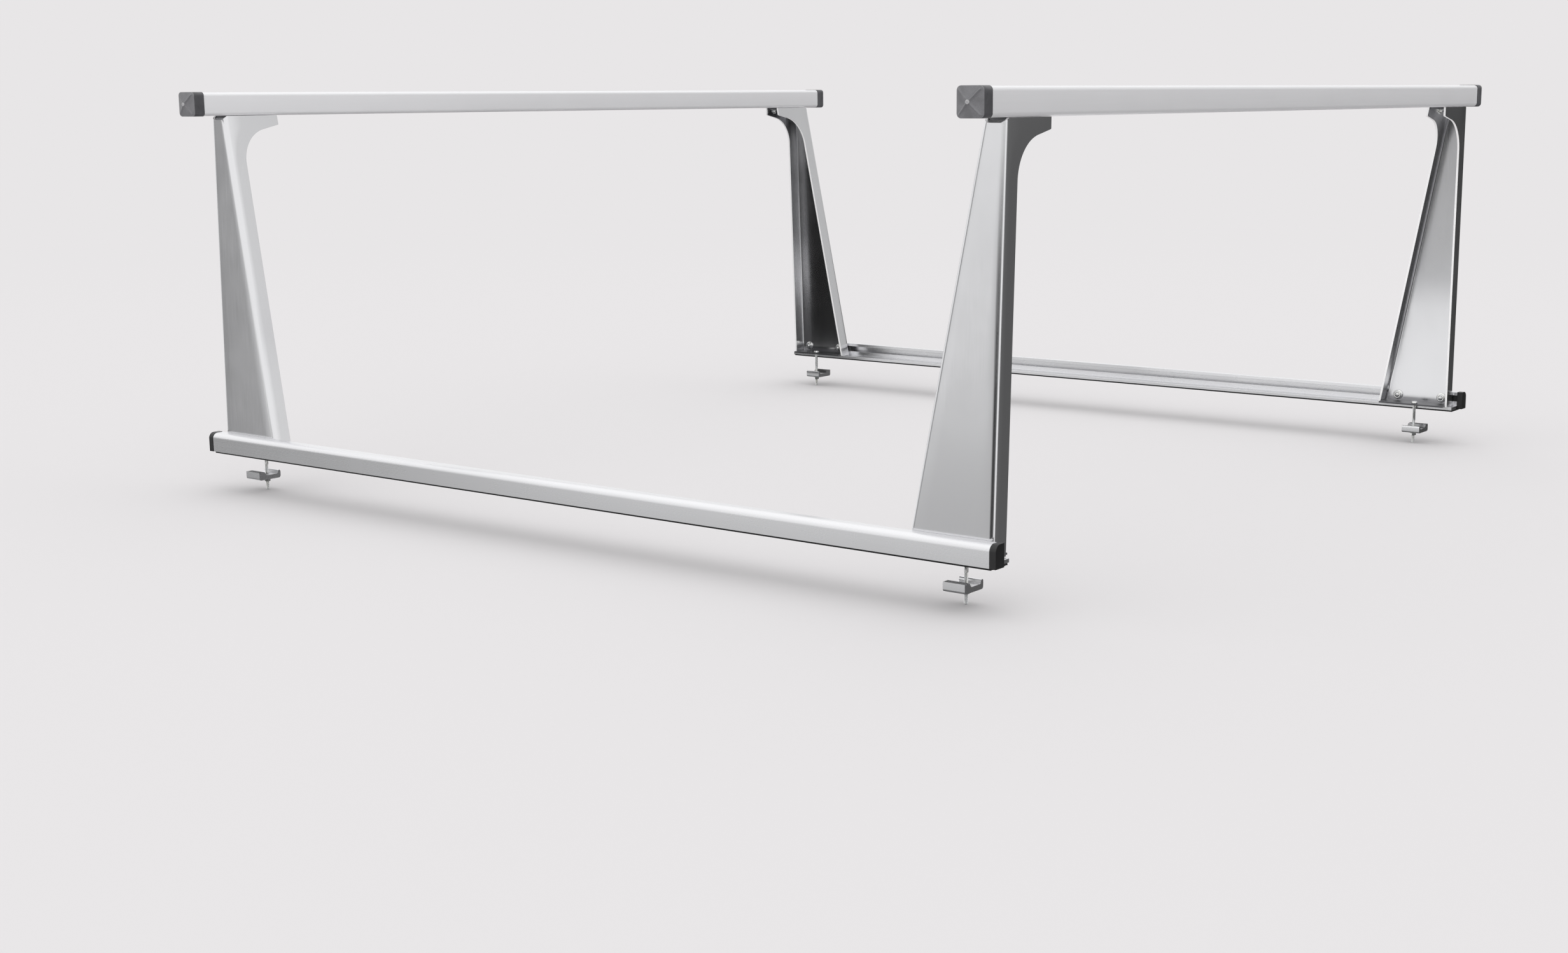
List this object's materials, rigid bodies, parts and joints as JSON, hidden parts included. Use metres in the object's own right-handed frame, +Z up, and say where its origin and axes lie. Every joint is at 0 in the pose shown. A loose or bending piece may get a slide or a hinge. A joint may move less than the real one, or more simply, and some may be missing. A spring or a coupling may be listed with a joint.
{
  "type": "over-bed pickup rack",
  "caption": "Aluminium rack for a pickup bed: crossbar hoops on tapered uprights that slide along T-slot side rails, with a clamp under each foot.",
  "frame": {"origin": "midway between the four uprights, in the plane of the tops of the bed sides, under the rails' seals", "axes": "+X to the passenger side along the crossbars, +Y to the cab along the rails, +Z up"},
  "size_m": [1.8074, 1.6566, 0.7001],
  "materials": {
    "anodised_aluminium": "satin clear-anodised, brushed along its length",
    "plated_steel": "bright zinc plate",
    "grey_plastic": "fine moulded grain",
    "black_plastic": "satin moulded",
    "seal_rubber": "matt extruded"
  },
  "bodies": {
    "rails": {"rail_left": "anodised_aluminium", "rail_seal_left": "seal_rubber", "rail_cap_front_left": "black_plastic", "rail_cap_rear_left": "black_plastic", "rail_right": "anodised_aluminium", "rail_seal_right": "seal_rubber", "rail_cap_front_right": "black_plastic", "rail_cap_rear_right": "black_plastic"},
    "front_hoop": {"crossbar_front": "anodised_aluminium", "upright_front_left": "anodised_aluminium", "top_plate_front_left": "anodised_aluminium", "crossbar_bolt_front_left": "plated_steel", "crossbar_nut_front_left": "plated_steel", "foot_plate_front_left": "anodised_aluminium", "foot_stud_bar_front_left": "plated_steel", "foot_nut_outer_front_left": "plated_steel", "foot_nut_inner_front_left": "plated_steel", "clamp_bolt_front_left": "plated_steel", "crossbar_cap_front_left": "grey_plastic", "upright_front_right": "anodised_aluminium", "top_plate_front_right": "anodised_aluminium", "crossbar_bolt_front_right": "plated_steel", "crossbar_nut_front_right": "plated_steel", "foot_plate_front_right": "anodised_aluminium", "foot_stud_bar_front_right": "plated_steel", "foot_nut_outer_front_right": "plated_steel", "foot_nut_inner_front_right": "plated_steel", "clamp_bolt_front_right": "plated_steel", "crossbar_cap_front_right": "grey_plastic"},
    "rear_hoop": {"crossbar_rear": "anodised_aluminium", "upright_rear_left": "anodised_aluminium", "top_plate_rear_left": "anodised_aluminium", "crossbar_bolt_rear_left": "plated_steel", "crossbar_nut_rear_left": "plated_steel", "foot_plate_rear_left": "anodised_aluminium", "foot_stud_bar_rear_left": "plated_steel", "foot_nut_outer_rear_left": "plated_steel", "foot_nut_inner_rear_left": "plated_steel", "clamp_bolt_rear_left": "plated_steel", "crossbar_cap_rear_left": "grey_plastic", "upright_rear_right": "anodised_aluminium", "top_plate_rear_right": "anodised_aluminium", "crossbar_bolt_rear_right": "plated_steel", "crossbar_nut_rear_right": "plated_steel", "foot_plate_rear_right": "anodised_aluminium", "foot_stud_bar_rear_right": "plated_steel", "foot_nut_outer_rear_right": "plated_steel", "foot_nut_inner_rear_right": "plated_steel", "clamp_bolt_rear_right": "plated_steel", "crossbar_cap_rear_right": "grey_plastic"},
    "clamp_front_left": {"clamp_jaw_front_left": "anodised_aluminium", "clamp_nut_front_left": "plated_steel"},
    "clamp_front_right": {"clamp_jaw_front_right": "anodised_aluminium", "clamp_nut_front_right": "plated_steel"},
    "clamp_rear_left": {"clamp_jaw_rear_left": "anodised_aluminium", "clamp_nut_rear_left": "plated_steel"},
    "clamp_rear_right": {"clamp_jaw_rear_right": "anodised_aluminium", "clamp_nut_rear_right": "plated_steel"}
  },
  "joints": [
    {"name": "front_hoop_slide", "type": "slide", "parent": "rails", "child": "front_hoop", "axis": [0, 1, 0], "range_m": [-0.65, 0]},
    {"name": "rear_hoop_slide", "type": "slide", "parent": "rails", "child": "rear_hoop", "axis": [0, 1, 0], "range_m": [0, 0.65]},
    {"name": "clamp_front_left_slide", "type": "slide", "parent": "front_hoop", "child": "clamp_front_left", "axis": [0, 0, 1], "range_m": [-0.012, 0.004]},
    {"name": "clamp_front_right_slide", "type": "slide", "parent": "front_hoop", "child": "clamp_front_right", "axis": [0, 0, 1], "range_m": [-0.012, 0.004]},
    {"name": "clamp_rear_left_slide", "type": "slide", "parent": "rear_hoop", "child": "clamp_rear_left", "axis": [0, 0, 1], "range_m": [-0.012, 0.004]},
    {"name": "clamp_rear_right_slide", "type": "slide", "parent": "rear_hoop", "child": "clamp_rear_right", "axis": [0, 0, 1], "range_m": [-0.012, 0.004]}
  ]
}
